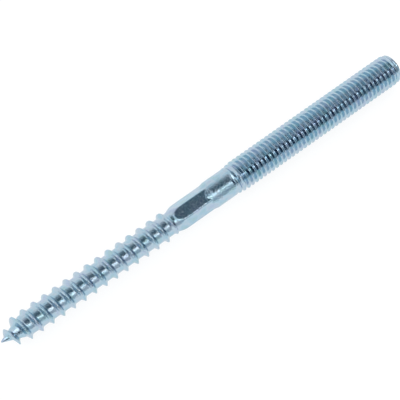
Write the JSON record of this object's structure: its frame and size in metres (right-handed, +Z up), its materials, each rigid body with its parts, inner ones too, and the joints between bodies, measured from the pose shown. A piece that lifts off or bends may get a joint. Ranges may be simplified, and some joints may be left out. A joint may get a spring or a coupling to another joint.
{
  "type": "hanger bolt",
  "caption": "Zinc-plated steel hanger bolt: a wood screw thread with a gimlet point, a pressed hexagon for a spanner, a short plain shank and a metric thread.",
  "frame": {"origin": "on the surface that the bolt lies on, under the middle of its length", "axes": "+X along the bolt's axis from the gimlet point to the metric end, +Z up; the bolt lies on its metric thread"},
  "size_m": [0.1176, 0.0078, 0.0079],
  "materials": {
    "zinc_plate": "bright zinc plate, blue passivated, smooth and glossy"
  },
  "bodies": {
    "root": {"hanger_bolt": "zinc_plate"}
  },
  "joints": []
}
